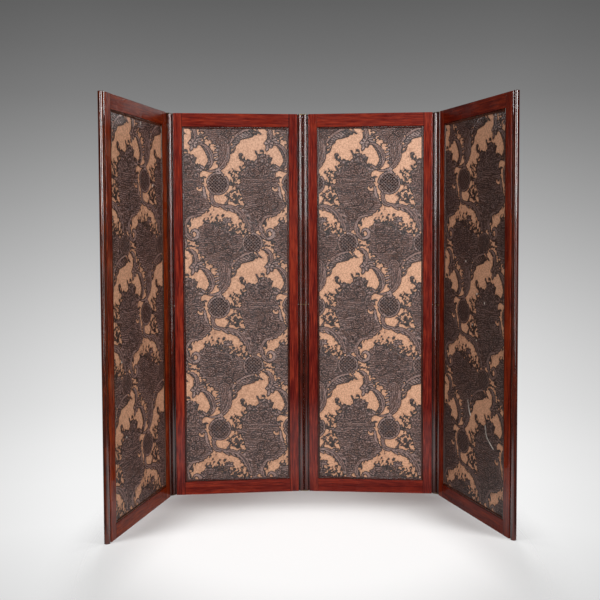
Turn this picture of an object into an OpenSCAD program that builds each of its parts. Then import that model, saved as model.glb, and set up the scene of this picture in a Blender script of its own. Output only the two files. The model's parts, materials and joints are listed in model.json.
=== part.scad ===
// Four-leaf folding screen: mahogany frames, embossed coverings, brass link hinges.
// The screen stands on z = 0, with the middle of its footprint at the origin.
// Azimuth 0 sees the front: leaf 1 is on the left, and leaves 1 and 4 come forward.

/* [Leaf] */
// Height of each leaf
leaf_h = 1680; // [1500:10:1900]
// Width of a leaf over its two bead strips
leaf_w = 592; // [450:1:700]
// Thickness of the frame, which is also the diameter of the bead strips
leaf_t = 22; // [20:0.5:26]
// Face width of a stile, without its bead strip
stile_w = 38; // [34:1:60]
// Height of the top and bottom rails
rail_h = 57; // [50:1:90]
// Radius of the stile's arris beside the quirk
arris_r = 4; // [2:0.5:5]

/* [Rail joint] */
// Thickness of the tenons
tenon_t = 7.5; // [6:0.5:9]
// How far a tenon enters its stile
tenon_l = 28; // [20:1:30]
// Height of the haunch between a tenon and the end of its stile
haunch_h = 12; // [8:1:16]
// How far the haunch enters the stile
haunch_l = 8; // [5:1:12]
// Height of the shoulder between a tenon and the sight edge
shoulder_h = 4; // [2:1:8]

/* [Bead strip] */
// Width of the quirk between a bead and the stile's edge
quirk_w = 2; // [1.5:0.5:3]
// Thickness of the tongue that joins a bead to its stile
tongue_t = 9; // [6:0.5:12]
// Depth of the tongue in the stile
tongue_l = 6; // [4:0.5:8]

/* [Panel] */
// Depth of a covering's surface below the face of the frame
recess = 4.6; // [4.2:0.1:6]
// Thickness of a covering on its canvas
cover_t = 1.6; // [1:0.1:2.2]
// Width of the softwood strainer's bars
bar_w = 40; // [30:1:60]
// Number of cross bars between the strainer's end bars
cross_bars = 2; // [1:1:4]

/* [Slips] */
// Width of the slips that frame a covering
slip_w = 10; // [9:0.5:14]
// Radius of the half-round on a slip
slip_r = 3.6; // [2.5:0.1:3.6]
// Thickness of a slip under its quirks
slip_base = 1.2; // [0.8:0.1:1.6]
// Width of the quirk between the frame and the half-round
slip_quirk = 1.2; // [0.8:0.1:2]
// Height of the centre of the half-round above the covering
slip_lift = 0.4; // [0.2:0.1:0.6]
// Half the hairline gap in a slip's mitres
mitre_gap = 0.1; // [0.05:0.05:0.2]

/* [Hinge] */
// Gap between the two beads of a joint
bead_gap = 0.6; // [0.6:0.1:1.5]
// Thickness of the brass link plates
plate_t = 2.4; // [1.6:0.1:3]
// Room above and below a plate
plate_play = 0.2; // [0.1:0.05:0.3]
// Radius of the pins and of the screws' shanks
pin_r = 2; // [1.5:0.1:2.5]
// Radial clearance of a plate on its pins
pin_fit = 0.05; // [0.02:0.01:0.08]
// Length of the plain pins through the middle plate
pin_l = 56; // [40:2:80]
// Depth of the end screws in the bead strips
screw_l = 30; // [20:1:40]
// Radius of a screw's head
head_r = 4; // [3.5:0.1:4.5]
// Height of the countersunk head
head_h = 2; // [1.5:0.1:2]
// Width of the slot in a screw's head
slot_w = 0.8; // [0.6:0.1:1]
// Depth of that slot
slot_d = 0.7; // [0.4:0.1:1]

/* [Stance] */
// Fold between leaves 1 and 2, forward
fold_12 = 70; // [0:1:120]
// Fold between leaves 2 and 3, forward
fold_23 = 10; // [0:1:60]
// Fold between leaves 3 and 4, forward
fold_34 = 66; // [0:1:120]

/* [Hidden] */
$fn = 64;
leaf_parts = ["left_stile", "right_stile", "top_rail", "bottom_rail", "left_bead", "right_bead",
              "strainer", "front_cover", "back_cover", "front_slips", "back_slips"];
plate_parts = ["top_plate", "middle_plate", "bottom_plate"];

// Colours
mahogany = [0.47, 0.17, 0.11];
dark_mahogany = [0.33, 0.12, 0.09];
softwood = [0.80, 0.66, 0.46];
covering = [0.72, 0.55, 0.42];
brass = [0.78, 0.62, 0.30];
steel = [0.55, 0.55, 0.56];

// A leaf's own frame has its left bead's axis at x = 0 and its right bead's at x = pitch,
// with the front face towards -y
bead_r = leaf_t / 2;
pitch = leaf_w - leaf_t;
stile_out = bead_r + quirk_w;
stile_in = stile_out + stile_w;
opening_w = pitch - 2 * stile_in;
opening_h = leaf_h - 2 * rail_h;
cover_y = bead_r - recess;
strainer_t = 2 * (cover_y - cover_t);
tenon_h = rail_h - haunch_h - shoulder_h;

// The two pivots of a joint are this far apart
reach = leaf_t + bead_gap;
slot_h = plate_t + 2 * plate_play;
plate_z = [leaf_h - slot_h + plate_play, (leaf_h - plate_t) / 2, plate_play];

// Headings of the leaves and links about z, from each one's left pivot to its right pivot
heading = [fold_23 / 2 + fold_12, fold_23 / 2, -fold_23 / 2, -fold_23 / 2 - fold_34];
link_heading = [for (j = [0:2]) (heading[j] + heading[j + 1]) / 2];

// Walk outwards from the middle joint to each leaf's left and right pivots
function along(angle, length) = length * [cos(angle), sin(angle)];
right_2 = along(0, -reach / 2);
left_2 = right_2 - along(heading[1], pitch);
right_1 = left_2 - along(link_heading[0], reach);
left_1 = right_1 - along(heading[0], pitch);
left_3 = along(0, reach / 2);
right_3 = left_3 + along(heading[2], pitch);
left_4 = right_3 + along(link_heading[2], reach);
right_4 = left_4 + along(heading[3], pitch);
left_pivots = [left_1, left_2, left_3, left_4];
right_pivots = [right_1, right_2, right_3, right_4];
pivot_x = [for (p = concat(left_pivots, right_pivots)) p[0]];
pivot_y = [for (p = concat(left_pivots, right_pivots)) p[1]];
middle = [(min(pivot_x) + max(pivot_x)) / 2, (min(pivot_y) + max(pivot_y)) / 2];

// Puts children into leaf k's place
module on_leaf(k) {
    at = left_pivots[k - 1] - middle;
    translate([at[0], at[1], 0])
        rotate([0, 0, heading[k - 1]])
            children();
}

// Puts children into the place of the link between leaves j and j + 1
module on_link(j) {
    at = right_pivots[j - 1] - middle;
    translate([at[0], at[1], 0])
        rotate([0, 0, link_heading[j - 1]])
            children();
}

// Turns a left-hand piece into the right-hand one
module handed(side) {
    if (side == "right")
        translate([pitch, 0, 0])
            mirror([1, 0, 0])
                children();
    else
        children();
}

// Turns a piece at the foot of a leaf into the one at its head
module ended(end) {
    if (end == "top")
        translate([0, 0, leaf_h])
            mirror([0, 0, 1])
                children();
    else
        children();
}

// Turns a front piece into the one on the back
module faced(face) {
    mirror([0, face == "back" ? 1 : 0, 0])
        children();
}

// Haunched tenon on a foot rail's left end, and the mortise that it fills
module tenon() {
    translate([stile_in - tenon_l, -tenon_t / 2, haunch_h])
        cube([tenon_l, tenon_t, tenon_h]);
    translate([stile_in - haunch_l, -tenon_t / 2, 0])
        cube([haunch_l, tenon_t, haunch_h]);
}

// Section of a stile: square at the sight edge, with round arrises beside the bead
module stile_section() {
    translate([stile_out + arris_r, -bead_r])
        square([stile_w - arris_r, leaf_t]);
    translate([stile_out, arris_r - bead_r])
        square([arris_r, leaf_t - 2 * arris_r]);
    for (side = [-1, 1])
        translate([stile_out + arris_r, side * (bead_r - arris_r)])
            circle(arris_r);
}

module stile(k, side) {
    color(mahogany)
        on_leaf(k)
            handed(side)
                difference() {
                    linear_extrude(leaf_h)
                        stile_section();
                    translate([stile_out, -tongue_t / 2, 0])
                        cube([tongue_l, tongue_t, leaf_h]);
                    for (end = ["top", "bottom"])
                        ended(end)
                            tenon();
                }
}

module rail(k, end) {
    color(mahogany)
        on_leaf(k)
            ended(end) {
                translate([stile_in, -bead_r, 0])
                    cube([opening_w, leaf_t, rail_h]);
                for (side = ["left", "right"])
                    handed(side)
                        tenon();
            }
}

// One length of a left bead strip, from z = low to z = high
module bead_length(low, high) {
    translate([0, 0, low])
        linear_extrude(high - low) {
            circle(bead_r);
            translate([0, -tongue_t / 2])
                square([stile_out + tongue_l, tongue_t]);
        }
}

// A free edge has its bead in one length. A hinged edge has it in two, with the link plates
// at the ends of the lengths and between them, and bores for the screws and the middle pin.
module bead(k, side) {
    hinged = side == "left" ? k > 1 : k < 4;
    color(mahogany)
        on_leaf(k)
            handed(side)
                if (hinged)
                    difference() {
                        union() {
                            bead_length(slot_h, (leaf_h - slot_h) / 2);
                            bead_length((leaf_h + slot_h) / 2, leaf_h - slot_h);
                        }
                        for (z = [0, leaf_h - slot_h - screw_l])
                            translate([0, 0, z])
                                cylinder(h = slot_h + screw_l, r = pin_r);
                        translate([0, 0, (leaf_h - pin_l) / 2])
                            cylinder(h = pin_l, r = pin_r);
                    }
                else
                    bead_length(0, leaf_h);
}

// Softwood frame that keeps the two coverings flat
module strainer(k) {
    bar_step = (opening_h - bar_w) / (cross_bars + 1);
    color(softwood)
        on_leaf(k)
            translate([stile_in, -strainer_t / 2, rail_h]) {
                for (x = [0, opening_w - bar_w])
                    translate([x, 0, 0])
                        cube([bar_w, strainer_t, opening_h]);
                for (row = [0:cross_bars + 1])
                    translate([0, 0, row * bar_step])
                        cube([opening_w, strainer_t, bar_w]);
            }
}

module cover(k, face) {
    color(covering)
        on_leaf(k)
            faced(face)
                translate([stile_in, -cover_y, rail_h])
                    cube([opening_w, cover_t, opening_h]);
}

// Section of a slip: x runs in from the frame, y rises from the covering
module slip_section() {
    square([slip_w, slip_base]);
    intersection() {
        translate([slip_quirk + slip_r, slip_lift])
            circle(slip_r);
        square([slip_w, slip_lift + slip_r]);
    }
}

// One slip, mitred at both ends, lying along x with its outer edge on z = 0
module slip(length) {
    intersection() {
        rotate([90, 0, 90])
            linear_extrude(length)
                rotate(90)
                    slip_section();
        rotate([90, 0, 0])
            linear_extrude(2 * leaf_t, center = true)
                polygon([
                    [mitre_gap, 0], [length - mitre_gap, 0],
                    [length - slip_w - mitre_gap, slip_w], [slip_w + mitre_gap, slip_w]
                ]);
    }
}

module slips(k, face) {
    middle_x = pitch / 2;
    middle_z = leaf_h / 2;
    color(dark_mahogany)
        on_leaf(k)
            faced(face)
                translate([middle_x, -cover_y, middle_z])
                    for (turn = [0:3])
                        rotate([0, 90 * turn, 0]) {
                            upright = turn % 2 == 1;
                            length = upright ? opening_h : opening_w;
                            across = upright ? opening_w : opening_h;
                            translate([-length / 2, 0, -across / 2])
                                slip(length);
                        }
}

// Link plate between two pivots, sunk for screw heads where its end is open
module link_plate(j, place) {
    low = plate_z[search([place], ["top", "middle", "bottom"])[0]];
    color(brass)
        on_link(j)
            difference() {
                translate([0, 0, low]) {
                    for (x = [0, reach])
                        translate([x, 0, 0])
                            cylinder(h = plate_t, r = bead_r);
                    translate([0, -bead_r, 0])
                        cube([reach, leaf_t, plate_t]);
                }
                for (x = [0, reach])
                    translate([x, 0, 0]) {
                        translate([0, 0, low - 1])
                            cylinder(h = plate_t + 2, r = pin_r + pin_fit);
                        if (place != "middle")
                            ended(place)
                                countersink();
                    }
            }
}

// Seat of a screw's head in the underside of a foot plate
module countersink() {
    spread = pin_fit * sqrt(2);
    translate([0, 0, plate_play - 1])
        cylinder(h = head_h + 1, r1 = head_r + spread + 1, r2 = pin_r + spread);
}

// Slotted screw up into the foot of a bead
module end_screw() {
    difference() {
        translate([0, 0, plate_play]) {
            cylinder(h = head_h, r1 = head_r, r2 = pin_r);
            cylinder(h = slot_h - plate_play + screw_l, r = pin_r);
        }
        translate([-head_r - 1, -slot_w / 2, 0])
            cube([2 * head_r + 2, slot_w, plate_play + slot_d]);
    }
}

// The end screws and the middle pin that one bead strip holds
module pins(k, side) {
    color(steel)
        on_leaf(k)
            handed(side) {
                for (end = ["top", "bottom"])
                    ended(end)
                        end_screw();
                translate([0, 0, (leaf_h - pin_l) / 2])
                    cylinder(h = pin_l, r = pin_r);
            }
}

module leaf_part(k, part) {
    if (part == "left_stile") stile(k, "left");
    if (part == "right_stile") stile(k, "right");
    if (part == "top_rail") rail(k, "top");
    if (part == "bottom_rail") rail(k, "bottom");
    if (part == "left_bead") bead(k, "left");
    if (part == "right_bead") bead(k, "right");
    if (part == "strainer") strainer(k);
    if (part == "front_cover") cover(k, "front");
    if (part == "back_cover") cover(k, "back");
    if (part == "front_slips") slips(k, "front");
    if (part == "back_slips") slips(k, "back");
}

for (k = [1:4]) for (part = leaf_parts)
    leaf_part(k, part);

for (j = [1:3]) for (place = ["top", "middle", "bottom"])
    link_plate(j, place);

for (j = [1:3]) for (side = [0, 1])
    pins(j + side, side == 0 ? "right" : "left");
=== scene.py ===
import json
import math

import bmesh
import bpy
import numpy as np
from mathutils import Matrix, Vector

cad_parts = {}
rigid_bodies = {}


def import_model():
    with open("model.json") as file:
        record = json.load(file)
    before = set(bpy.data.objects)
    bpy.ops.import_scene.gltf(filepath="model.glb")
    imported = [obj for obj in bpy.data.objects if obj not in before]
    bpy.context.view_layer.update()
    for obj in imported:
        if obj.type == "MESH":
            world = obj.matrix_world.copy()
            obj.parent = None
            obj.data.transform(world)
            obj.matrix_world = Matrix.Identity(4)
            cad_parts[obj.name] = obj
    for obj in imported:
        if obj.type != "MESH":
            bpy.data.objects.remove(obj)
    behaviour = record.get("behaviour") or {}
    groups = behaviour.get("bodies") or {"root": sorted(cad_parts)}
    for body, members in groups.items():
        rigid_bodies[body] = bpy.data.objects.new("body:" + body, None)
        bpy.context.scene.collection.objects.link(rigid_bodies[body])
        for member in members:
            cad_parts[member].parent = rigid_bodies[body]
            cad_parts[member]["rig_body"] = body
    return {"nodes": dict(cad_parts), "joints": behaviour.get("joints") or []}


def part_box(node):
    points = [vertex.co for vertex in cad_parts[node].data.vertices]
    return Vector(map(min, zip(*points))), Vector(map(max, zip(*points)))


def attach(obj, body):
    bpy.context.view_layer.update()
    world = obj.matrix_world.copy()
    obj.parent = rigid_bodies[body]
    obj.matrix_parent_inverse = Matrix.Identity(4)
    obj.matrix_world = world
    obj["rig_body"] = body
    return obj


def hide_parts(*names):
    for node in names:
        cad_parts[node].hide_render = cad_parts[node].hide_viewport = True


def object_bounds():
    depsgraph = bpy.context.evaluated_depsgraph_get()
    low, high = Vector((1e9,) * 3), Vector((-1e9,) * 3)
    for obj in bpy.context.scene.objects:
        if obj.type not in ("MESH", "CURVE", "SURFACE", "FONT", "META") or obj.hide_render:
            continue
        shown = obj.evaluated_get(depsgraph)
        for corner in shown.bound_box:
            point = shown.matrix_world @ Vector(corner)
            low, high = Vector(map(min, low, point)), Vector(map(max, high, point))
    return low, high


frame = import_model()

# Four-leaf folding screen: polished frames, embossed coverings, brass link plates.
# Leaf 1 stands at the left as seen from the front. Lengths are in metres where no name or note says mm.

cadLow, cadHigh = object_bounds()
scene = bpy.context.scene
scene.view_settings.view_transform = "Standard"


def linear(red, green, blue):
    # Colours are written as they look on a screen, 0 to 255
    def channel(value):
        share = value / 255
        return share / 12.92 if share <= 0.04045 else ((share + 0.055) / 1.055) ** 2.4
    return (channel(red), channel(green), channel(blue), 1.0)


def addObject(name, data):
    thing = bpy.data.objects.new(name, data)
    scene.collection.objects.link(thing)
    return thing


def meshOf(shape, name):
    mesh = bpy.data.meshes.new(name)
    shape.to_mesh(mesh)
    shape.free()
    return mesh


# Camera, fitted to the corners of the four leaves in the photograph

cameraSet = {
    "place": Vector((-0.0531, -3.3124, 1.1659)),
    "turn": math.radians(0.307),     # towards +X
    "tilt": math.radians(2.516),     # downwards
    "roll": math.radians(-0.245),
    "focalPixels": 814.0,
    "axisRow": 266.8,                # picture row of the optical axis
    "imageSide": 600,
    "sensor": 36.0,
}


def makeCamera():
    data = bpy.data.cameras.new("camera")
    camera = addObject("camera", data)
    scene.camera = camera
    data.sensor_width = cameraSet["sensor"]
    data.lens = cameraSet["focalPixels"] / cameraSet["imageSide"] * cameraSet["sensor"]
    data.shift_y = (cameraSet["axisRow"] - cameraSet["imageSide"] / 2) / cameraSet["imageSide"]
    data.clip_start, data.clip_end = 0.05, 60
    turn, tilt, roll = cameraSet["turn"], cameraSet["tilt"], cameraSet["roll"]
    level = Vector((math.sin(turn), math.cos(turn), 0))
    forward = level * math.cos(tilt) - Vector((0, 0, math.sin(tilt)))
    side = forward.cross(Vector((0, 0, 1))).normalized()
    up = side.cross(forward)
    right = side * math.cos(roll) + up * math.sin(roll)
    head = up * math.cos(roll) - side * math.sin(roll)
    turned = Matrix((right, head, -forward)).transposed()
    camera.matrix_world = Matrix.Translation(cameraSet["place"]) @ turned.to_4x4()


makeCamera()
print("camera placed")


# Node helpers

def newMaterial(name):
    material = bpy.data.materials.new(name)
    material.use_nodes = True
    tree = material.node_tree
    tree.nodes.clear()
    output = tree.nodes.new("ShaderNodeOutputMaterial")
    shader = tree.nodes.new("ShaderNodeBsdfPrincipled")
    tree.links.new(shader.outputs["BSDF"], output.inputs["Surface"])
    return material, tree, shader


def mapped(tree, place, turn=0.0, move=(0, 0, 0), stretch=(1, 1, 1)):
    node = tree.nodes.new("ShaderNodeMapping")
    for name, value in (("Rotation", (0, 0, turn)), ("Location", move), ("Scale", stretch)):
        node.inputs[name].default_value = value
    tree.links.new(place, node.inputs["Vector"])
    return node.outputs["Vector"]


def objectPlace(tree, turn=0.0, move=(0, 0, 0)):
    # Object coordinates, turned about Z so that x runs along a leaf
    return mapped(tree, tree.nodes.new("ShaderNodeTexCoord").outputs["Object"], turn, move)


def axes(tree, place):
    parts = tree.nodes.new("ShaderNodeSeparateXYZ")
    tree.links.new(place, parts.inputs["Vector"])
    return tuple(parts.outputs)


def noise(tree, place, *settings):
    # The settings are its scale, detail, roughness and, where there is any, distortion
    node = tree.nodes.new("ShaderNodeTexNoise")
    for name, value in zip(("Scale", "Detail", "Roughness", "Distortion"), settings):
        node.inputs[name].default_value = value
    tree.links.new(place, node.inputs["Vector"])
    return node.outputs["Fac"]


def ramp(tree, value, stops):
    node = tree.nodes.new("ShaderNodeValToRGB")
    elements = node.color_ramp.elements
    while len(elements) < len(stops):
        elements.new(0.5)
    for element, (place, colour) in zip(elements, stops):
        element.position = place
        element.color = colour
    tree.links.new(value, node.inputs["Fac"])
    return node.outputs["Color"]


def blendColour(tree, share, first, second, way="MIX"):
    node = tree.nodes.new("ShaderNodeMix")
    node.data_type = "RGBA"
    node.blend_type = way
    for name, value in (("Factor", share), ("A", first), ("B", second)):
        socket = node.inputs[name]
        if isinstance(value, (float, int, tuple)):
            socket.default_value = value
        else:
            tree.links.new(value, socket)
    return node.outputs["Result"]


def maths(tree, way, first, second=0.0):
    node = tree.nodes.new("ShaderNodeMath")
    node.operation = way
    for socket, value in ((node.inputs[0], first), (node.inputs[1], second)):
        if isinstance(value, (float, int)):
            socket.default_value = value
        else:
            tree.links.new(value, socket)
    return node.outputs["Value"]


def spread(tree, value, *limits, way="SMOOTHSTEP"):
    # What lies between the first two limits goes to between the next two, or to between 0 and 1
    node = tree.nodes.new("ShaderNodeMapRange")
    node.interpolation_type = way
    for name, limit in zip(("From Min", "From Max", "To Min", "To Max"), limits):
        node.inputs[name].default_value = limit
    tree.links.new(value, node.inputs["Value"])
    return node.outputs["Result"]


def stored(tree, name):
    node = tree.nodes.new("ShaderNodeAttribute")
    node.attribute_name = name
    return node.outputs["Fac"]


def rayKind(tree):
    # The light path, and 1 for rays that show a thing to the camera, itself or in a reflection
    path = tree.nodes.new("ShaderNodeLightPath").outputs
    shown = maths(tree, "MAXIMUM", path["Is Camera Ray"], path["Is Glossy Ray"])
    return path, maths(tree, "MAXIMUM", shown, path["Is Transmission Ray"])


def mixShaders(tree, share, first, second, output):
    mix = tree.nodes.new("ShaderNodeMixShader")
    for value, socket in zip((share, first, second), mix.inputs):
        tree.links.new(value, socket)
    tree.links.new(mix.outputs["Shader"], output.inputs["Surface"])


def bump(tree, shader, height, distance):
    node = tree.nodes.new("ShaderNodeBump")
    node.inputs["Distance"].default_value = distance
    tree.links.new(height, node.inputs["Height"])
    tree.links.new(node.outputs["Normal"], shader.inputs["Normal"])


# World, floor and lamps

backdropSet = {
    # height of a line of sight above level, and the grey of the backdrop there
    "greys": ((-0.42, 226), (-0.33, 244), (-0.285, 243), (-0.245, 238), (-0.2, 228), (-0.145, 218),
              (-0.085, 204), (-0.025, 187), (0.037, 168), (0.098, 148), (0.158, 127), (0.215, 111),
              (0.272, 96)),
    "sides": (0.23, 0.38, 1.0, 0.86),    # it darkens between the first two distances to either side
    "fill": 0.05,                        # level of the room's light on the screen
    # How far back a reflection has to look to see none and all of the lit side, and the level of the
    # unlit side, behind the camera
    "front": (0.5, 1.0, 0.09, 1.0),
}


def makeWorld():
    world = bpy.data.worlds.new("studio")
    scene.world = world
    world.use_nodes = True
    tree = world.node_tree
    tree.nodes.clear()
    output = tree.nodes.new("ShaderNodeOutputWorld")
    source = tree.nodes.new("ShaderNodeTexCoord")
    sideways, backward, upward = axes(tree, source.outputs["Generated"])
    low, high = backdropSet["greys"][0][0], backdropSet["greys"][-1][0]
    share = spread(tree, upward, low, high, way="LINEAR")
    stops = [((z - low) / (high - low), linear(grey, grey, grey)) for z, grey in backdropSet["greys"]]
    seen = tree.nodes.new("ShaderNodeBackground")
    tree.links.new(ramp(tree, share, stops), seen.inputs["Color"])
    fill = tree.nodes.new("ShaderNodeBackground")
    fill.inputs["Color"].default_value = (1, 1, 1, 1)
    fill.inputs["Strength"].default_value = backdropSet["fill"]
    path, shown = rayKind(tree)
    dim = spread(tree, backward, *backdropSet["front"])
    direct = maths(tree, "SUBTRACT", 1.0, path["Is Glossy Ray"])
    aside = spread(tree, maths(tree, "ABSOLUTE", sideways), *backdropSet["sides"])
    level = maths(tree, "MULTIPLY", maths(tree, "MAXIMUM", dim, direct), aside)
    tree.links.new(level, seen.inputs["Strength"])
    mixShaders(tree, shown, fill.outputs["Background"], seen.outputs["Background"], output)


floorSet = {
    "reach": 2.4, "roughness": 0.9,
    # How far the centre lies to the left and in front of the origin, the half widths of the ellipse,
    # and the shares of them between which the floor fades out, and between which the painted pool of light on
    # it darkens towards its edge
    "fade": ((0, 0.35), (0.77, 1.2), 0.78, 1.24),
    "paintedPool": ((0, -0.5), (1.15, 1.75), 0.65, 1.1),
    # Painted pool of light: as the camera sees it, the floor is light in the middle and darker at the edge
    "middle": linear(231, 231, 231), "edge": linear(188, 188, 188),    # as the camera sees it
    "bounce": linear(150, 150, 150),    # as it lights the screen
}


def makeFloor():
    shape = bmesh.new()
    bmesh.ops.create_circle(shape, cap_ends=True, segments=96, radius=floorSet["reach"])
    mesh = meshOf(shape, "floor")
    floor = addObject("floor", mesh)
    material, tree, shader = newMaterial("floor")
    shader.inputs["Roughness"].default_value = floorSet["roughness"]
    shader.inputs["Specular IOR Level"].default_value = 0.0
    source = tree.nodes.new("ShaderNodeTexCoord")

    def beyond(ellipse):
        # 0 within the ellipse and 1 outside it
        (middleX, middleY), (wide, deep), start, end = ellipse
        move, stretch = (middleX / wide, middleY / deep, 0), (1 / wide, 1 / deep, 1)
        away = tree.nodes.new("ShaderNodeVectorMath")
        away.operation = "LENGTH"
        tree.links.new(mapped(tree, source.outputs["Object"], 0.0, move, stretch), away.inputs[0])
        return spread(tree, away.outputs["Value"], start, end)

    gone, aside = beyond(floorSet["fade"]), beyond(floorSet["paintedPool"])
    # Painted pool of light: the floor's colour darkens away from the middle
    seen = blendColour(tree, aside, floorSet["middle"], floorSet["edge"])
    shown = rayKind(tree)[1]
    tree.links.new(blendColour(tree, shown, floorSet["bounce"], seen), shader.inputs["Base Color"])
    clear = tree.nodes.new("ShaderNodeBsdfTransparent")
    mixShaders(tree, gone, shader.outputs["BSDF"], clear.outputs["BSDF"], tree.nodes["Material Output"])
    mesh.materials.append(material)
    return floor


lampSet = {
    # name: place, aim, width, height, watts, and whether it lights the floor or the screen
    "highKey": ((0.3, -4.0, 3.6), (0, 0.3, 0.9), 1.2, 0.7, 50, "screen"),
    "rightKey": ((1.7, -3.6, 2.1), (-0.1, 0.2, 0.9), 0.5, 1.7, 75, "screen"),
    "leftKey": ((-1.6, -3.6, 2.1), (0.1, 0.2, 0.9), 0.5, 1.7, 50, "screen"),
    "rightSheen": ((1.6, -3.6, 0.7), (0, 0.3, 0.9), 0.3, 1.1, 8, "screen"),
    "leftSheen": ((-1.5, -3.6, 0.7), (0, 0.3, 0.9), 0.3, 1.1, 8, "screen"),
    "backRight": ((0.9, 4.2, 2.4), (0, 0, 0.9), 1.2, 1.4, 60, "screen"),
    "backLeft": ((-0.9, 4.2, 2.4), (0, 0, 0.9), 1.2, 1.4, 60, "screen"),
    "overRight": ((0.77, 0.6, 4.57), (0.77, 0.6, 0), 0.29, 0.24, 47, "floor"),
    "overLeft": ((-0.77, 0.6, 4.57), (-0.77, 0.6, 0), 0.29, 0.24, 47, "floor"),
    "outerRight": ((1.42, -0.8, 3.27), (1.42, -0.8, 0), 0.47, 0.49, 57, "floor"),
    "outerLeft": ((-1.42, -0.8, 3.27), (-1.42, -0.8, 0), 0.47, 0.49, 57, "floor"),
}


def makeLamps(floor):
    groups = {}
    for lit, state in (("floor", "INCLUDE"), ("screen", "EXCLUDE")):
        groups[lit] = bpy.data.collections.new("lit as %s" % lit)
        groups[lit].objects.link(floor)
        groups[lit].collection_objects[0].light_linking.link_state = state
    for name, (place, aim, width, height, watts, lit) in lampSet.items():
        data = bpy.data.lights.new(name, "AREA")
        data.shape = "RECTANGLE"
        data.size, data.size_y = width, height
        data.energy = watts
        lamp = addObject(name, data)
        lamp.location = place
        lamp.visible_camera = False
        lamp.rotation_euler = (Vector(aim) - Vector(place)).to_track_quat("-Z", "Y").to_euler()
        lamp.light_linking.receiver_collection = groups[lit]


makeWorld()
makeLamps(makeFloor())
print("floor, backdrop and lamps placed")


# Where each leaf stands: its left pivot, its heading and the way back to the frame's own axes

leafSet = {
    "height": cadHigh.z - cadLow.z, "thick": 0.022, "stileIn": 0.051, "coverDepth": 0.0064,
    # The joint on one side of each leaf
    "pivots": {1: ("leaf_1_on_link_12", "right"), 2: ("link_12_on_leaf_2", "left"),
               3: ("leaf_3_on_link_23", "left"), 4: ("leaf_4_on_link_34", "left")},
}


def leafPlaces():
    pivotOf = {joint["name"]: Vector(joint["pos_m"]) for joint in frame["joints"]}
    places = {}
    for leaf, (joint, side) in leafSet["pivots"].items():
        low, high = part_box("leaf_%d_top_rail" % leaf)
        middle = (low + high) / 2
        along = middle - pivotOf[joint] if side == "left" else pivotOf[joint] - middle
        along.z = 0
        heading = math.atan2(along.y, along.x)
        middle.z = 0
        start = middle - along
        places[leaf] = Matrix.Translation(start) @ Matrix.Rotation(heading, 4, "Z")
        leafSet["pitch"] = 2 * along.length
    return places


places = leafPlaces()
headings = {leaf: place.to_euler().z for leaf, place in places.items()}


# Finishes

woodSet = {
    # Deep, body and bright tones, where in the figure the deep and the bright ones lie,
    # and the weight, roughness and IOR of the polish
    "stile": (linear(86, 17, 13), linear(118, 33, 22), linear(150, 52, 32), (0.41, 0.60), (0.6, 0.07, 1.5)),
    "rail": (linear(86, 17, 13), linear(118, 33, 22), linear(150, 52, 32), (0.38, 0.63), (0.3, 0.07, 1.5)),
    # The beads' tones are darker than the stiles': partly a darker stain, partly painted shade
    "bead": (linear(40, 8, 4), linear(66, 16, 7), linear(92, 28, 12), (0.41, 0.60), (1.0, 0.11, 1.75)),
    "slips": (linear(40, 12, 7), linear(60, 21, 12), linear(80, 32, 18), (0.41, 0.60), (1.0, 0.2, 1.5)),
    # The dark of a rail's joint lines, also used for the painted shade in the quirks
    "pore": linear(44, 10, 6), "seamDarkAndShade": linear(20, 7, 5),
    # Painted light and shade: each leaf's wood is lightened, darkened and tinted for how it is lit
    "leafTint": {1: (1.12, 1.45, 0.5), 2: (1, 1, 1), 3: (1.02, 1.05, 1.1), 4: (0.88, 0.9, 0.5)},
    # Where in the wear noise the roughness starts and ends to change, and its values there
    "roughness": (0.3, 0.7, 0.19, 0.36),
    "specular": 0.06, "grain": 0.00012, "seam": 0.0016, "seamEdges": (1.6, 0.4), "beadSwell": 0.000298,
    # The polish ends between these depths below the top
    "bareTop": (0.0013, 0.0008), "bareRoughness": 0.8,
}

grainSet = {
    # How the figure and the pores are stretched, along the grain and across it
    "figure": (1.0, 14.0), "pores": (3.0, 45.0),
    # Scale, detail, roughness and distortion of each noise
    "broad": (1.3, 3.0, 0.55, 0.6), "streak": (13.0, 4.0, 0.6, 0.3),
    "pore": (14.0, 2.0, 0.6), "worn": (5.0, 3.0, 0.6),
    "broadShare": 0.32, "streakShare": 0.68, "poreShare": 0.55, "wornShare": 0.35,
    "poreRange": (0.60, 0.74), "wornRange": (0.52, 0.8), "seed": (0.37, 0.61, 0.83),
}


def railMiddle(leaf):
    # The middle of a leaf's rails, along the leaf's own heading
    low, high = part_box("leaf_%d_top_rail" % leaf)
    middle = (low + high) / 2
    return middle.x * math.cos(headings[leaf]) + middle.y * math.sin(headings[leaf])


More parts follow.
